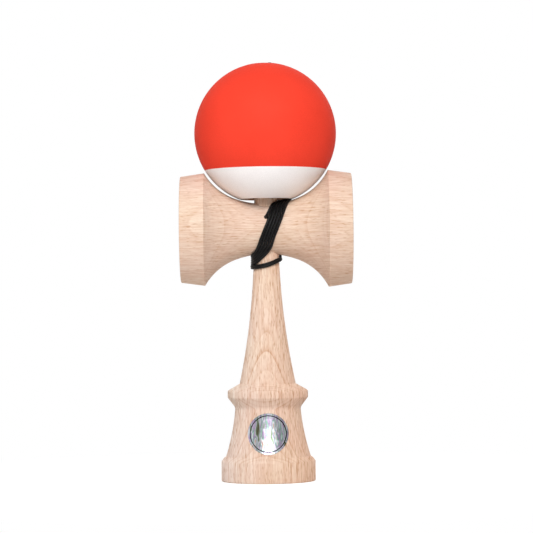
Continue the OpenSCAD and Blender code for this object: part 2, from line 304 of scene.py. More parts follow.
def smooth(points, n):
    """A line through the points: each stretch is a cubic that keeps its neighbours' direction."""
    line = []
    for i in range(len(points) - 1):
        a, b = points[max(0, i - 1)], points[i]
        c, d = points[i + 1], points[min(len(points) - 1, i + 2)]
        for s in range(n):
            t = s / n
            line.append(b + t / 2 * ((c - a) + t * ((2 * a - 5 * b + 4 * c - d)
                                                   + t * (3 * b - a - 3 * c + d))))
    return line + [points[-1].copy()]


def laid(p):
    """The point, moved out where it would dip into the waist or the shaft."""
    q = p.copy()
    r = sqrt(p.y ** 2 + (p.z - sarado_z) ** 2)
    need = waist_at(p.x) + strand_off
    if r < need:
        q.y, q.z = p.y * need / r, sarado_z + (p.z - sarado_z) * need / r
    s = sqrt(q.x ** 2 + q.y ** 2)
    want = shaft_at(q.z) + strand_off
    if s < want:
        q.x, q.y = q.x * want / s, q.y * want / s
    return q


def length_of(line):
    return sum((b - a).length for a, b in zip(line, line[1:]))


one_turn = smooth([turn_place(0, j) for j in range(places)], roundness)
print("one turn, mm:", round(length_of([laid(p) for p in one_turn])))

# %% [markdown]
# ## String: the whole winding
# The string comes out of a hole in the front of the cross piece and joins the first turn near the
# top. After five turns it loops round the shaft, one and a half times, and slants up to the back.
# The loops rise on the right, as a hand pulls them. A few listed points lead out of the hole
# and away at the back.

# %% The winding's line
turns = 5
first_place = 5
loop_rise = 3.6
lead_out = [(0, -8.1, 111), (0, -9.65, 111), (0.35, -11.35, 111.7), (1.15, -12, 113.2),
            (1.95, -10.8, 114.8)]
lead_back = [(6.1, -0.6, 93.3), (6.1, 1.6, 93.7), (5.95, 3.8, 94.5), (5.8, 6.4, 96.5),
             (5.6, 9, 98.9), (5.65, 10.25, 100.45), (5.85, 11, 101.9)]


def on_loop(n, j):
    angle = pi + 2 * pi * j / places
    z = side_z - side_pitch * (turns + n + j / places) + loop_rise * (1 - cos(angle - pi)) ** 2 / 4
    r = shaft_at(z) + strand_off
    return Vector((r * cos(angle), r * sin(angle), z))


wound_places = [Vector(p) for p in lead_out]
wound_places += [turn_place(-1, j) for j in range(first_place, places)]
wound_places += [turn_place(n, j) for n in range(turns) for j in range(places)]
wound_places += [on_loop(0, j) for j in range(places)] + [on_loop(1, j) for j in range(places // 2)]
wound_places += [Vector(p) for p in lead_back]
led_out = roundness * len(lead_out)
wound_line = [p * MM if i < led_out else laid(p) * MM
              for i, p in enumerate(smooth(wound_places, roundness))]
print("wound:", len(wound_places), "places,", round(length_of(wound_line), 3), "m")

# %% [markdown]
# ## String: the free stretch
# From the winding the string runs straight up behind the ball, lies on the ball's back and turns
# into the hole on top, down to the bead. All of it lies in one upright plane through the ken's
# axis, so each point needs only its distance from the axis and its height.

# %% The free stretch's line
run_turn = radians(62)
run_roundness = 4
run_route = [(12.5, 102), (15.6, 108.3), (18.7, 114.6), (21.8, 120.8), (24.9, 127.1), (27.8, 133),
             (29.6, 137.6), (30.7, 142.6), (31, 147.5), (30.5, 152.4), (29.1, 157.3), (27, 161.9),
             (24.2, 166.1), (20.7, 169.7), (16.6, 172.7), (12.1, 174.95), (8.2, 176.27),
             (5.8, 176.82), (3.8, 176.72), (2.4, 176.1), (1.2, 175.05), (0.4, 174), (0, 172.4),
             (0, 168.5), (0, 164.5), (0, 160.5), (0, 156.4)]
run_points = [Vector((d * cos(run_turn), d * sin(run_turn), z)) for d, z in run_route]
run_line = [p * MM for p in smooth(run_points, run_roundness)]
print("free:", round(length_of(run_line), 3), "m")

# %% [markdown]
# ## String: its tube
# A curve with a round bevel is swept into a tube, then made a mesh. A skin or a chain of cylinders
# would do as well, but the sweep gives the UV map that the braid needs. The winding rides on the
# cross piece.

# %% Sweep the winding
STRING = 1.2 * MM
TUBE_STEPS = 3


def show(name, mesh, *materials):
    piece = bpy.data.objects.new(name, mesh)
    bpy.context.scene.collection.objects.link(piece)
    for material in materials:
        mesh.materials.append(material)
    return piece


def tube(name, line, diameter, material, closed=False):
    curve = bpy.data.curves.new(name, "CURVE")
    curve.dimensions = "3D"
    curve.twist_mode = "MINIMUM"
    curve.bevel_depth = diameter / 2
    curve.bevel_resolution = TUBE_STEPS
    curve.use_fill_caps = not closed
    spline = curve.splines.new("POLY")
    spline.points.add(len(line) - 1)
    for point, p in zip(spline.points, line):
        point.co = (*p, 1)
    spline.use_cyclic_u = closed
    swept = bpy.data.objects.new(name + "_curve", curve)
    bpy.context.scene.collection.objects.link(swept)
    shape = swept.evaluated_get(bpy.context.evaluated_depsgraph_get())
    mesh = bpy.data.meshes.new_from_object(shape)
    mesh.name = name
    bpy.data.objects.remove(swept)
    bpy.data.curves.remove(curve)
    mesh.shade_smooth()
    mesh.materials.clear()
    return show(name, mesh, material)


winding = tube("wound_string", wound_line, STRING, braid("black_braid_wound", length_of(wound_line)))
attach(winding, "sarado")
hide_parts("string_winding")
print("winding:", len(winding.data.polygons), "faces,", [uv.name for uv in winding.data.uv_layers])

# %% [markdown]
# ## String: the free stretch's tube
# The free stretch starts on the cross piece and ends in the ball. It is swept into a tube like the
# winding, and its place is baked into its mesh.

# %% Sweep the free stretch
free = tube("free_string", run_line, STRING, braid("black_braid_free", length_of(run_line)))
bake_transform(free)
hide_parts("string_run")
print("free stretch:", len(free.data.polygons), "faces")

# %% [markdown]
# ## Knots
# A stopper knot holds the string in the cross piece, and another one holds the bead inside the
# ball. Both are hidden until the toy is taken apart. Each is the string itself in an overhand
# knot, so its line is the closed trefoil, pulled tight until it fills the solid's box.

# %% Knots
KNOT_STEPS = 48
KNOT_STRAND = 0.36
KNOT_LENGTH = 9 * MM
knot_braid = braid("black_braid_knot", KNOT_LENGTH)


def knot(name, node, body):
    low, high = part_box(node)
    centre, size = (low + high) / 2, (high - low).x
    line = []
    for i in range(KNOT_STEPS):
        t = 2 * pi * i / KNOT_STEPS
        line.append(Vector((sin(t) + 2 * sin(2 * t), cos(t) - 2 * cos(2 * t), -sin(3 * t))))
    reach = max(p.length for p in line)
    strand = KNOT_STRAND * size
    scale = (size - strand) / 2 / reach
    piece = tube(name, [centre + scale * p for p in line], strand, knot_braid, closed=True)
    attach(piece, body)
    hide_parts(node)
    return piece


stopper = knot("stopper_knot_tied", "stopper_knot", "sarado")
bead_stop = knot("bead_knot_tied", "bead_knot", "bead")
print("knots:", stopper.name, bead_stop.name)

# %% [markdown]
# ## The string in all
# The string is one piece of cord in two stretches. The winding leaves the cross piece at the hole's
# edge, and the free stretch ends in the bead's knot.

string_hole_z = 111
print("string in all, m:", round(length_of(wound_line) + length_of(run_line), 2))

# %% [markdown]
# ## Turning on the lathe
# The ken, the cross piece and the ball are turned, so each is an outline spun round an axis. The
# outline holds the hollows of the cups too. Spheres and cones cut from each other would give the
# same forms, but an outline carries its rounded corners with it. After the spin, doubles are merged
# and normals turned outwards, and edges sharper than a limit stay sharp.

# %% Spin an outline
SPIN_STEPS = 192
SHARP = radians(32)
DOUBLES = 1e-7


def rounded(a, p, b, r, step=9.0):
    """The corner p between its neighbours a and b, rounded with radius r."""
    u, v = Vector(a) - Vector(p), Vector(b) - Vector(p)
    u.normalize()
    v.normalize()
    half = acos(max(-1, min(1, u.dot(v)))) / 2
    t = r / tan(half)
    start, end = Vector(p) + u * t, Vector(p) + v * t
    turn = 1 if u.x * v.y - u.y * v.x < 0 else -1
    return arc(tuple(start), tuple(end), r * turn, step)


def turned(name, outline, *materials, closed=False, place=Matrix.Identity(4)):
    """A piece turned about Z from an outline of (radius, height) in millimetres, then placed."""
    bm = bmesh.new()
    verts = [bm.verts.new((r * MM, 0, z * MM)) for r, z in outline]
    edges = [bm.edges.new(pair) for pair in zip(verts, verts[1:])]
    if closed:
        edges.append(bm.edges.new((verts[-1], verts[0])))
    bmesh.ops.spin(bm, geom=verts + edges, cent=(0, 0, 0), axis=(0, 0, 1), dvec=(0, 0, 0),
                   angle=2 * pi, steps=SPIN_STEPS, use_merge=True, use_duplicate=False)
    bmesh.ops.remove_doubles(bm, verts=bm.verts, dist=DOUBLES)
    bmesh.ops.recalc_face_normals(bm, faces=bm.faces)
    bmesh.ops.transform(bm, matrix=place, verts=bm.verts)
    mesh = bpy.data.meshes.new(name)
    bm.to_mesh(mesh)
    bm.free()
    mesh.shade_smooth()
    mesh.set_sharp_from_angle(angle=SHARP)
    return show(name, mesh, *materials)


print("lathe:", SPIN_STEPS, "steps a turn")

# %% [markdown]
# ## Beech: its grain
# Beech is a pale pinkish wood. Its rays show as short brown flecks along the grain, between fine
# fibres and longer, softer streaks. An even noise would look like sponge, so each pattern is noise
# drawn out along the wood, from a width, a length and a depth.

# %% Grain drawn out along the wood
RAY_DEPTH = 10
GRAIN_MIX = 0.55
# Width, length and depth in millimetres, detail, and a shift that keeps the patterns apart. A real
# fibre is half as wide; it is drawn as coarse as it needs to be to show.
GRAIN = {"fibre": (0.17, 3.5, RAY_DEPTH, 3.0, 0), "streak": (0.5, 11, RAY_DEPTH, 2.0, 23),
         "sway": (9, 40, 9, 1.0, 7)}


def grain(tree, along, fleck):
    """The patterns by name, with flecks of a width and a length in millimetres."""
    patterns = {}
    sizes = {**GRAIN, "fleck": (*fleck, RAY_DEPTH, 1.0, 40)}
    for name, (width, length, depth, detail, shift) in sizes.items():
        stretch = add(tree, "Mapping", Vector=along, Location=(shift, shift, shift),
                      Scale=[1 / (size * MM) for size in (width, depth, length)])
        noise = add(tree, "TexNoise", Vector=stretch.outputs[0], Scale=1.0, Detail=detail,
                    Roughness=GRAIN_MIX)
        patterns[name] = noise.outputs["Fac"]
    return patterns


print("grain, width and length in mm:", {name: size[:2] for name, size in GRAIN.items()})

# %% [markdown]
# ## Beech: its year rings
# A tree grows in rings round its pith, pale in spring and darker towards the end of the year. On a
# turned piece they show as faint arches where the tool cut through them. A drawn arch would fit one
# side only, so the rings are distances from a pith line behind the piece, and arch by themselves.

# %% Year rings
RING_SWAY = 0.5 * MM
YEARS_APART = 0.6
YEARS_CHANGE = 0.37


def year_rings(tree, along, sway, pith, ring_width, clear_rings):
    """How much late wood shows. Good and bad years differ in width and in how clear they are."""
    flat = add(tree, "VectorMath", {"operation": "MULTIPLY_ADD"}, _0=along, _1=(1, 1, 0),
               _2=(-pith[0], -pith[1], 0))
    distance = add(tree, "VectorMath", {"operation": "LENGTH"}, _0=flat.outputs[0])
    bent = add(tree, "Math", {"operation": "MULTIPLY_ADD"}, _0=sway, _1=RING_SWAY,
               _2=distance.outputs["Value"])
    years = add(tree, "Math", {"operation": "DIVIDE"}, _0=bent.outputs[0], _1=ring_width).outputs[0]
    uneven = add(tree, "TexNoise", {"noise_dimensions": "1D"}, W=years, Scale=YEARS_CHANGE,
                 Detail=1.0)
    spaced = add(tree, "Math", {"operation": "MULTIPLY_ADD"}, _0=uneven.outputs["Fac"],
                 _1=YEARS_APART, _2=years).outputs[0]
    season = add(tree, "Math", {"operation": "FRACT"}, _0=spaced)
    late = add(tree, "ValToRGB", stops=[(0, 0), (0.5, 0.06), (0.84, 0.6), (0.93, 0.85), (1, 0)],
               Fac=season.outputs[0])
    which = add(tree, "Math", {"operation": "FLOOR"}, _0=spaced)
    lot = add(tree, "TexWhiteNoise", {"noise_dimensions": "1D"}, W=which.outputs[0])
    clear = add(tree, "MapRange", Value=lot.outputs["Value"], To_Min=clear_rings[0],
                To_Max=clear_rings[1])
    return add(tree, "Math", {"operation": "MULTIPLY"}, _0=late.outputs[0],
               _1=clear.outputs[0]).outputs[0]


print("year rings sway by, mm:", RING_SWAY / MM)

# %% [markdown]
# ## Beech: its colour and surface
# The wood is sanded and left without varnish. The rings mix two tones, the other patterns shade
# them one after another, and a slow change of tone runs from side to side along X, which on the
# ken is partly painted shade. The brown flecks lie on top, denser in the late wood. Inside the ball
# the drill leaves the wood bare and browner.

# %% Sanded beech
PALE_BEECH = "#F2E7E0"
LATE_BEECH = "#DDBFAB"
FLECK_BROWN = "#B4835F"
FLECK_SHARE = 0.65
FLECKS_IN_LATE_WOOD = 0.13
TONE_PATCH = 24 * MM
SIDE_TONE_HALF = 19 * MM


def beech(name, axis, pith, tone, ring_width=1.35 * MM, clear_rings=(0.3, 1.0), fleck=(0.32, 3),
          fleck_lean=0.0, sanding=0.35):
    """Beech whose grain runs along an axis, with a pith line across it and tones along X, which on the
    ken also hold painted shade, darker on the right.
    The flecks' lean makes them denser towards +X, and sanding is how much light the surface
    scatters back."""
    # To the eye: a dry, pale wood with no shine, whose fine grain only breaks up the light.
    material, tree, shader = new_material(name)
    place = add(tree, "TexCoord").outputs["Object"]
    turn = {"X": (0, radians(90), 0), "Z": (0, 0, 0)}[axis]
    along = add(tree, "Mapping", Vector=place, Rotation=turn).outputs[0]
    patterns = grain(tree, along, fleck)
    late = year_rings(tree, along, patterns["sway"], pith, ring_width, clear_rings)
    patch = add(tree, "TexNoise", Vector=along, Scale=1 / TONE_PATCH, Detail=2.0)
    split = add(tree, "SeparateXYZ", Vector=place)
    across = add(tree, "MapRange", Value=split.outputs[0], From_Min=-SIDE_TONE_HALF,
                 From_Max=SIDE_TONE_HALF).outputs[0]
    body = add(tree, "Mix", COLOURS, Factor=late, _6=linear(PALE_BEECH), _7=linear(LATE_BEECH))
    # The last ramp runs across X: on the ken it is partly the wood's tone and partly painted shade,
    # paler on the left and darker on the right.
    for pattern, stops in ((patterns["fibre"], [(0.3, "#EFE8E3"), (0.7, "#FFFFFF")]),
                           (patterns["streak"], [(0.34, "#F2E6DE"), (0.62, "#FFFFFF")]),
                           (patch.outputs["Fac"], [(0.35, "#FFF7F5"), (0.65, "#FFFBF5")]),
                           (across, tone)):
        shade = add(tree, "ValToRGB", stops=stops, Fac=pattern)
        body = add(tree, "Mix", MULTIPLIED, Factor=1.0, _6=body.outputs[2], _7=shade.outputs[0])
    leaning = add(tree, "Math", {"operation": "MULTIPLY_ADD"}, _0=across, _1=fleck_lean,
                  _2=patterns["fleck"])
    dense = add(tree, "Math", {"operation": "MULTIPLY_ADD"}, _0=late, _1=FLECKS_IN_LATE_WOOD,
                _2=leaning.outputs[0])
    flecks = add(tree, "ValToRGB", stops=[(0.6, 0), (0.74, FLECK_SHARE)], Fac=dense.outputs[0])
    colour = add(tree, "Mix", COLOURS, Factor=flecks.outputs[0], _6=body.outputs[2],
                 _7=linear(FLECK_BROWN))
    rough = add(tree, "ValToRGB", stops=[(0.3, 0.66), (0.7, 0.56)], Fac=patterns["fibre"])
    bump = add(tree, "Bump", Strength=0.25, Distance=0.08 * MM, Height=patterns["fibre"])
    tree.links.new(colour.outputs[2], shader.inputs["Base Color"])
    tree.links.new(rough.outputs[0], shader.inputs["Roughness"])
    tree.links.new(bump.outputs[0], shader.inputs["Normal"])
    shader.inputs["Specular IOR Level"].default_value = 0.1
    shader.inputs["Diffuse Roughness"].default_value = sanding
    return material


bare_beech = beech("drilled_beech", "Z", (40 * MM, 60 * MM), [(0, "#EDD8C0"), (1, "#EDD8C0")])
print("beech:", bare_beech.name, len(bare_beech.node_tree.nodes), "nodes")

# %% [markdown]
# ## Beech: two planks
# The ken and the cross piece are cut from different planks. The ken's has clear rings and its
# flecks lean to the right. Its colour runs from cool and pale on the left to warm and darker on the
# right, partly the wood's own tone and partly painted shade. The cross piece's grain runs along its
# length, with wider, fainter rings. One material for both would be simpler, but its grain would run
# across one of them.

# %% The ken's plank and the cross piece's
# Partly the wood's own tone and partly painted shade: the ken is paler and cooler on the left, darker
# and warmer on the right.
ken_beech = beech("sanded_beech_ken", "Z", (5 * MM, 74.8 * MM),
                  [(0.05, "#FAFEFF"), (0.5, "#FBF8F1"), (0.95, "#F8E9DC")], fleck_lean=0.05)
sarado_beech = beech("sanded_beech_sarado", "X", (101 * MM, 86 * MM),
                     [(0, "#F5F0E8"), (1, "#F2EBE2")], ring_width=2.0 * MM,
                     clear_rings=(0.0, 0.45), fleck=(0.3, 2.8), sanding=0.0)
print("planks:", ken_beech.name, sarado_beech.name)

# %% [markdown]
# ## Ken
# The handle: a base cup in the foot, a cone, a ring, a hollow shaft, the taper that carries the
# cross piece and the spike. A real one is turned between centres in one go, so it is one outline
# here too, from the middle of the base cup to the tip.

# %% Ken
foot_r = 19.85
foot_h = 8.3
foot_swell_r = 6
foot_round = 0.6
cone_low = (17.85, 10.5)
cone_hollow_r = 95
neck = (13.75, 31)
neck_round = 2.6
ring_low = (16.95, 35.2)
ring_top = (16.95, 38.1)
ring_low_round = 1.3
ring_top_round = 1.1
cup_r = 30.5
cup_round = 0.5
base_mouth_r = 17.4
base_depth = cup_r - sqrt(cup_r ** 2 - base_mouth_r ** 2)

base_cup = arc((0, base_depth), (base_mouth_r, 0), -cup_r)
cone = arc(cone_low, neck, -cone_hollow_r, step=1.0)
ken_line = base_cup[:-1]
ken_line += rounded(base_cup[-2], base_cup[-1], (foot_r, 0), cup_round)
ken_line += rounded((base_mouth_r, 0), (foot_r, 0), (foot_r, foot_h), foot_round)
ken_line += arc((foot_r, foot_h), cone_low, foot_swell_r)
ken_line += cone[1:-1] + rounded(cone[-2], neck, ring_low, neck_round)
ken_line += rounded(neck, ring_low, ring_top, ring_low_round)
ken_line += rounded(ring_low, ring_top, shaft_foot, ring_top_round)
ken_line += shaft_line[:-1]
ken_line += arc((tip_r, ken_h - tip_r), (0, ken_h), tip_r, step=6)
ken = turned("turned_ken", ken_line, ken_beech)
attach(ken, "ken")
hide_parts("ken")
print("ken:", len(ken_line), "points,", len(ken.data.polygons), "faces")

# %% [markdown]
# ## Cross piece: turning
# Two cups back to back with a waist between them. A cove, a hollow quarter round, leads from the
# waist to each cup's edge, and it leaves the waist without a kink, which gives its radius. The
# piece is turned about its own length and laid across.

# %% Turn the cross piece
sarado_half = 36.1
waist_half = 13
rim_round = 0.4


def cup_half(flange, rim_r, mouth_r):
    """Outline from the waist to the middle of the cup's hollow, as (radius, distance)."""
    a = (waist_at(waist_half), waist_half)
    tilt = asin(waist_half / waist_hollow_r)
    d = (flange[0] - a[0], flange[1] - a[1])
    cove_r = (d[0] ** 2 + d[1] ** 2) / 2 / (d[0] * cos(tilt) - d[1] * sin(tilt))
    rim, mouth = (rim_r, sarado_half), (mouth_r, sarado_half)
    cove = arc(a, flange, -cove_r)
    depth = cup_r - sqrt(cup_r ** 2 - mouth_r ** 2)
    hollow = arc(mouth, (0, sarado_half - depth), -cup_r)
    line = arc((waist_r, 0), a, -waist_hollow_r)[:-1] + cove[:-1]
    line += rounded(cove[-2], flange, rim, rim_round)
    line += rounded(flange, rim, mouth, rim_round)
    line += rounded(rim, mouth, hollow[1], cup_round)
    return line + hollow[1:]


big_half = cup_half((24.7, 26.3), 23.3, 21.5)
small_half = cup_half((23.8, 26), 22.4, 20.2)
sarado_line = [(r, -x) for r, x in reversed(small_half)] + big_half[1:]
laid_across = Matrix.Translation((0, 0, sarado_z * MM)) @ Matrix.Rotation(pi / 2, 4, "Y")
sarado = turned("turned_sarado", sarado_line, sarado_beech, place=laid_across)
print("cross piece:", len(sarado_line), "points")

# %% [markdown]
# ## Cross piece: drilling
# The turned piece is drilled: a tapered bore for the ken, a small hole for the string and a wider
# pocket for its knot. The holes cross the turned faces at odd angles, which an outline can't give,
# so three cutters make them with Boolean modifiers that are applied at once.

# %% Drill the cross piece
seat_clear = 0.05
bore_past = 1
string_hole_r = 0.85
pocket_r = 1.8
pocket_y = 8.1
DRILL_SIDES = 96


def cutter(r1, r2, length, start, axis):
    """A cone from start along an axis, in millimetres, for drilling."""
    bm = bmesh.new()
    bmesh.ops.create_cone(bm, cap_ends=True, segments=DRILL_SIDES, radius1=r1 * MM,
                          radius2=r2 * MM, depth=length * MM)
    bmesh.ops.translate(bm, verts=bm.verts, vec=(0, 0, length / 2 * MM))
    turn = Vector((0, 0, 1)).rotation_difference(Vector(axis)).to_matrix().to_4x4()
    bmesh.ops.transform(bm, matrix=Matrix.Translation(Vector(start) * MM) @ turn, verts=bm.verts)
    mesh = bpy.data.meshes.new("cutter")
    bm.to_mesh(mesh)
    bm.free()
    return show("cutter", mesh)


def drill(piece, *cutters):
    for tool in cutters:
        cut = piece.modifiers.new("drill", "BOOLEAN")
        cut.object = tool
        cut.solver = "EXACT"
    shape = piece.evaluated_get(bpy.context.evaluated_depsgraph_get())
    mesh = bpy.data.meshes.new_from_object(shape)
    piece.modifiers.clear()
    piece.data = mesh
    mesh.set_sharp_from_angle(angle=SHARP)
    for tool in cutters:
        bpy.data.objects.remove(tool)


slope = (seat_top_r - seat_low_r) / (seat_top_z - seat_low_z)
hole_start, forwards = (0, 0, string_hole_z), (0, -1, 0)
drill(sarado,
      cutter(seat_low_r - slope * bore_past + seat_clear, seat_top_r + slope * bore_past + seat_clear,
             seat_top_z - seat_low_z + 2 * bore_past, (0, 0, seat_low_z - bore_past), (0, 0, 1)),
      cutter(string_hole_r, string_hole_r, 2 * waist_r, hole_start, forwards),
      cutter(pocket_r, pocket_r, pocket_y, hole_start, forwards))
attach(sarado, "sarado")
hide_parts("sarado")
print("cross piece drilled:", len(sarado.data.polygons), "faces")

# %% [markdown]
# ## Rubber paint
# The ball is dipped in a matt, slightly tacky paint, which helps it to stay on the cups. Such a
# film has a fine grain that breaks up the highlight, and dries in faint clouds. A flat colour would
# look like plastic, so two noises, one fine and one slow, vary its tone and its roughness.

# %% Rubber paint
# The real grain is finer; it is drawn as coarse as it needs to be to show.
PAINT_GRAIN = 0.35 * MM
PAINT_CLOUD = 14 * MM


def rubber_paint(name, colour, shade, gloss):
    # To the eye: a strong, even colour with a wide, dull highlight and hardly any gloss.
    material, tree, shader = new_material(name)
    place = add(tree, "TexCoord").outputs["Object"]
    speckle = add(tree, "TexNoise", Vector=place, Scale=1 / PAINT_GRAIN, Detail=2.0).outputs["Fac"]
    cloud = add(tree, "TexNoise", Vector=place, Scale=1 / PAINT_CLOUD, Detail=2.0).outputs["Fac"]
    body = add(tree, "ValToRGB", stops=[(0.35, shade), (0.65, colour)], Fac=cloud)
    speck = add(tree, "ValToRGB", stops=[(0.3, "#F6F6F6"), (0.7, "#FFFFFF")], Fac=speckle)
    mixed = add(tree, "Mix", MULTIPLIED, Factor=1.0, _6=body.outputs[0], _7=speck.outputs[0])
    rough = add(tree, "ValToRGB", stops=[(0.3, 0.62), (0.7, 0.52)], Fac=speckle)
    bump = add(tree, "Bump", Strength=0.12, Distance=0.03 * MM, Height=speckle)
    tree.links.new(mixed.outputs[2], shader.inputs["Base Color"])
    tree.links.new(rough.outputs[0], shader.inputs["Roughness"])
    tree.links.new(bump.outputs[0], shader.inputs["Normal"])
    shader.inputs["Specular IOR Level"].default_value = gloss
    return material


red_paint = rubber_paint("red_rubber_paint", "#EE4330", "#EA412E", 0.04)
white_paint = rubber_paint("white_rubber_paint", "#FAF8F9", "#F7F4F5", 0.06)
print("paint:", red_paint.name, white_paint.name)

# %% [markdown]
# ## Ball: the string hole's mouth
# The ball has a large bevelled hole below, for the spike, and a small one on top, for the string.
# The small one's edge is rounded, so that the string isn't cut on it. The rounding touches the
# ball and a slope of 45 degrees, which fixes the middle of its circle. It could be a bevel on the
# finished mesh, but the wood and the paint share it, so it is part of both outlines.

# %% The ball's sizes, and the mouth of the string hole
tama_r = 30
coat_t = 0.25
wood_r = tama_r - coat_t
lip_r = 11.2
lip_below = sqrt(tama_r ** 2 - lip_r ** 2)
tama_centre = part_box("white_coat")[0].z / MM + lip_below
tama_string_r = 1.5
sink_r = 3.8
sink_bottom = tama_r - sink_r + tama_string_r
mouth_r = 4
mouth_reach = tama_r - mouth_r
mouth_rise = sink_bottom - tama_string_r - mouth_r * sqrt(2)
mouth_x = (sqrt(2 * mouth_reach ** 2 - mouth_rise ** 2) - mouth_rise) / 2
mouth_z = mouth_x + mouth_rise


def mouth(big):
    """The rounded edge of the string hole on a ball of radius big, from the outside inwards."""
    r = mouth_r - tama_r + big
    start = (mouth_x * big / mouth_reach, mouth_z * big / mouth_reach)
    return arc(start, (mouth_x - r / sqrt(2), mouth_z + r / sqrt(2)), r, step=5.0)


print("ball centre at z, mm:", round(tama_centre, 2), "mouth:", len(mouth(tama_r)), "points")

# %% [markdown]
# ## Ball: the wood
# The ball is turned from beech, bored from below for the spike and drilled from above for the
# string. Both holes lie on its axis, so the outline holds them, and it is closed, because the bore
# leaves no point on the axis.

# %% Ball of bare wood
hole_r = 10.6
bevel_h = 1.5
hole_top_r = 8.2
hole_depth = 44
hole_top = hole_depth - lip_below
lip = (lip_r, -sqrt(wood_r ** 2 - lip_r ** 2))
wood_line = [(tama_string_r, hole_top), (hole_top_r, hole_top), (hole_r, bevel_h - lip_below), lip]
wood_line += arc(lip, mouth(wood_r)[0], wood_r)[1:] + mouth(wood_r)[1:]
wood_line += [(tama_string_r, sink_bottom - coat_t)]
at_centre = Matrix.Translation((0, 0, tama_centre * MM))
tama = turned("turned_tama", wood_line, bare_beech, closed=True, place=at_centre)
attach(tama, "tama")
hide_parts("tama")
print("ball:", len(tama.data.polygons), "faces")

# %% [markdown]
# ## Ball: the paint
# The paint is two films, red above and white below, that end at the holes, so the wood shows
# inside them. They could be two colours on the ball, but they are thin shells with their own edges,
# as the real coats are, and those edges catch the light.

# %% Films of paint
band_h = 12.3
border = band_h - lip_below


def film(name, node, outline, material):
    """A film of paint on the ball, from its outline: along the outside, back along the wood."""
    piece = turned(name, outline, material, closed=True, place=at_centre)
    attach(piece, "tama")
    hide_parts(node)
    return piece


def under(point):
    """The point of the wood under a point of the paint."""
    return (point[0] * wood_r / tama_r, point[1] * wood_r / tama_r)


edge = (sqrt(tama_r ** 2 - border ** 2), border)
red_outside = arc(edge, mouth(tama_r)[0], tama_r) + mouth(tama_r)[1:]
red_inside = arc(under(edge), mouth(wood_r)[0], wood_r) + mouth(wood_r)[1:]
red = film("red_paint_film", "red_coat", red_outside + red_inside[::-1], red_paint)
white_low = (lip_r, -lip_below)
white_outside = arc(white_low, edge, tama_r)
white_inside = arc(under(white_low), under(edge), wood_r)
white = film("white_paint_film", "white_coat", white_outside + white_inside[::-1], white_paint)
print("films:", len(red.data.polygons), "and", len(white.data.polygons), "faces")

# %% [markdown]
# ## Bead
# The bead hangs inside the ball and is hidden in play. Its solid already has the right shape, a
# small drilled ball, so it stays as it is and gets the bare beech.

# %% Bead
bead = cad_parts["bead"]
bead.data.materials.clear()
bead.data.materials.append(bare_beech)
print("bead:", bead.data.materials[0].name)

# %% [markdown]
# ## Foil sticker
# A plain round sticker of metallised film sits on the cone. Such film is pressed with fine lines
# that split light into colours, so it shows upright bands of grey, green and violet. True
# diffraction can't be exported, so noise drawn out upwards fixes the bands to the sticker, and the
# mirror gloss comes from the shader.

# %% Foil
BAND_WIDTH = 1.9 * MM
BAND_LENGTH = 26 * MM
# The pressed lines are far finer; the cells are as coarse as they need to be to show.
CELL = 0.45 * MM
STICKER_Z = 20.5 * MM
LINE_R = 7.5 * MM
LINE_WIDTH = 0.4 * MM
LINE_INK = "#141416"


def holographic_foil():
    # To the eye: bright metal with soft colours, whose small cells glint a little differently.
    material, tree, shader = new_material("holographic_foil")
    place = add(tree, "TexCoord").outputs["Object"]
    upright = add(tree, "Mapping", Vector=place,
                  Scale=(1 / BAND_WIDTH, 1 / BAND_WIDTH, 1 / BAND_LENGTH))
    bands = add(tree, "TexNoise", Vector=upright.outputs[0], Scale=1.0, Detail=2.0)
    hue = add(tree, "ValToRGB", Fac=bands.outputs["Fac"],
              stops=[(0.3, "#4E4C3A"), (0.38, "#66735F"), (0.44, "#A4A8AC"), (0.5, "#8A7490"),
                     (0.55, "#678A78"), (0.6, "#B0B4B8"), (0.66, "#97786E"), (0.74, "#5C6144")])
    cells = add(tree, "TexVoronoi", Vector=place, Scale=1 / CELL, Randomness=0.9)
    glint = add(tree, "SeparateColor", Color=cells.outputs["Color"])
    sparkle = add(tree, "ValToRGB", stops=[(0.2, "#EAEBEF"), (0.8, "#FFFFFF")],
                  Fac=glint.outputs[0])
    colour = add(tree, "Mix", MULTIPLIED, Factor=0.8, _6=hue.outputs[0], _7=sparkle.outputs[0])
    from_middle = add(tree, "VectorMath", {"operation": "MULTIPLY_ADD"}, _0=place, _1=(1, 0, 1),
                      _2=(0, 0, -STICKER_Z))
    reach = add(tree, "VectorMath", {"operation": "LENGTH"}, _0=from_middle.outputs[0])
    line = add(tree, "Math", {"operation": "COMPARE"}, _0=reach.outputs["Value"], _1=LINE_R,
               _2=LINE_WIDTH / 2)
    printed = add(tree, "Mix", COLOURS, Factor=line.outputs[0], _6=colour.outputs[2],
                  _7=linear(LINE_INK))
    rough = add(tree, "ValToRGB", stops=[(0, 0.28), (1, 0.34)], Fac=glint.outputs[1])
    tree.links.new(printed.outputs[2], shader.inputs["Base Color"])
    tree.links.new(rough.outputs[0], shader.inputs["Roughness"])
    shader.inputs["Metallic"].default_value = 1.0
    return material


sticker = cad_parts["foil_sticker"]
sticker.data.materials.clear()
sticker.data.materials.append(holographic_foil())
print("sticker:", sticker.data.materials[0].name)

# %% [markdown]
# ## Background
# The toy stands in white. The world is white for whatever the camera sees, also in a mirror or
# through glass, and much dimmer for the light that falls on the toy. More light would give a white
# background too, but it would bleach the wood.

# %% World
AMBIENT = 0.25


def seen_straight(tree):
    """1 for what the camera sees, also in a mirror or through glass, and 0 for light on the toy."""
    path = add(tree, "LightPath")
    mirrored = add(tree, "Math", {"operation": "MAXIMUM"}, _0=path.outputs["Is Glossy Ray"],
                   _1=path.outputs["Is Transmission Ray"])
    return add(tree, "Math", {"operation": "MAXIMUM"}, _0=path.outputs["Is Camera Ray"],
               _1=mirrored.outputs[0]).outputs[0]


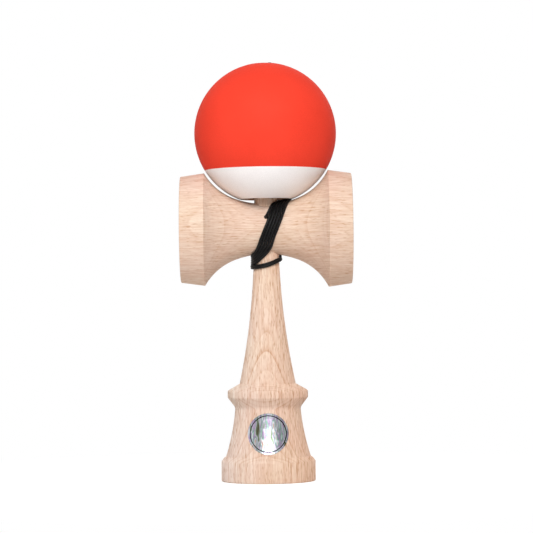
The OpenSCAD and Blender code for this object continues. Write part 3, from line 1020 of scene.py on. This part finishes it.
world = bpy.data.worlds.new("studio")
bpy.context.scene.world = world
world.use_nodes = True
tree = world.node_tree
tree.nodes.clear()
dim = add(tree, "Background", Color=grey(1), Strength=AMBIENT)
white_sky = add(tree, "Background", Color=grey(1), Strength=1.0)
sky = add(tree, "MixShader", Fac=seen_straight(tree), _1=dim.outputs[0], _2=white_sky.outputs[0])
add(tree, "OutputWorld", Surface=sky.outputs[0])
print("world:", len(tree.nodes), "nodes")

# %% [markdown]
# ## Floor
# The floor is plain white card. Near the toy it is lit and takes its shadow, and further out it
# fades into the white of the background, so no horizon shows. Under the foot it glows a little, to
# light the base cup, and from below it is clear, so that the cup can be seen there.

# %% Floor
FLOOR_SIZE = 6.0
FLOOR_CELLS = 8
FLOOR_LIT = 0.06
FLOOR_WHITE = 0.2
FLOOR_LIFT = 0.5

bm = bmesh.new()
bmesh.ops.create_grid(bm, x_segments=FLOOR_CELLS, y_segments=FLOOR_CELLS, size=FLOOR_SIZE / 2)
floor_mesh = bpy.data.meshes.new("floor")
bm.to_mesh(floor_mesh)
bm.free()
# To the eye: matt white card that shows a soft shadow and no reflection.
floor_paint, tree, shader = new_material("white_floor")
shader.inputs["Base Color"].default_value = linear("#E7E3DF")
shader.inputs["Roughness"].default_value = 0.9
shader.inputs["Specular IOR Level"].default_value = 0.0
seen = seen_straight(tree)
place = add(tree, "TexCoord").outputs["Object"]
away = add(tree, "VectorMath", {"operation": "LENGTH"}, _0=place).outputs["Value"]
fade = add(tree, "MapRange", {"interpolation_type": "SMOOTHSTEP"}, Value=away,
           From_Min=FLOOR_LIT, From_Max=FLOOR_WHITE)
plain = add(tree, "Math", {"operation": "MULTIPLY"}, _0=fade.outputs[0], _1=seen)
under_foot = add(tree, "Math", {"operation": "LESS_THAN"}, _0=away, _1=base_mouth_r * MM)
lit = add(tree, "Math", {"operation": "MAXIMUM"}, _0=seen, _1=under_foot.outputs[0])
lift = add(tree, "Math", {"operation": "MULTIPLY"}, _0=lit.outputs[0], _1=FLOOR_LIFT)
lifted = add(tree, "Emission", Color=grey(1), Strength=lift.outputs[0])
near = add(tree, "AddShader", _0=shader.outputs[0], _1=lifted.outputs[0])
far = add(tree, "Emission", Color=grey(1), Strength=1.0)
card = add(tree, "MixShader", Fac=plain.outputs[0], _1=near.outputs[0], _2=far.outputs[0])
below = add(tree, "NewGeometry").outputs["Backfacing"]
clear = add(tree, "BsdfTransparent")
mixed = add(tree, "MixShader", Fac=below, _1=card.outputs[0], _2=clear.outputs[0])
tree.links.new(mixed.outputs[0], tree.nodes["Material Output"].inputs["Surface"])
floor = show("floor", floor_mesh, floor_paint)
print("floor:", FLOOR_SIZE, "m wide, white from", FLOOR_WHITE, "m")

# %% [markdown]
# ## Lights
# A large soft box in front and above gives the main light, and a weak one from the left keeps that
# side paler. The one on top and the one behind serve the other views. They are kept out of
# mirrors, because their squares would show on the painted ball. A lit sphere of sky would be
# simpler, but it leaves no side darker than another.


# %% Lights
def soft_light(name, at, aim, size, power, mirrored=True):
    light = bpy.data.lights.new(name, "AREA")
    light.shape = "SQUARE"
    light.size = size
    light.energy = power
    lamp = bpy.data.objects.new(name, light)
    lamp.visible_glossy = mirrored
    lamp.location = at
    lamp.rotation_euler = (Vector(aim) - Vector(at)).to_track_quat("-Z", "Y").to_euler()
    bpy.context.scene.collection.objects.link(lamp)
    return lamp


MIDDLE = (0, 0, 0.1)
lamps = [soft_light("front_box", (0.03, -1.0, 0.66), MIDDLE, 0.5, 10.6),
         soft_light("left_box", (-0.9, -0.5, 0.3), MIDDLE, 0.6, 1.2),
         soft_light("top_box", (0, -0.3, 0.95), MIDDLE, 0.6, 1.4, mirrored=False),
         soft_light("back_box", (0.3, 1.1, 0.6), MIDDLE, 0.8, 6, mirrored=False)]
print("lights, W:", {lamp.name: round(lamp.data.energy, 1) for lamp in lamps})

# %% [markdown]
# ## Picture
# Standard shows a colour about as it is written; the film-like view would grey the whites.

# %% Picture
bpy.context.scene.view_settings.view_transform = "Standard"
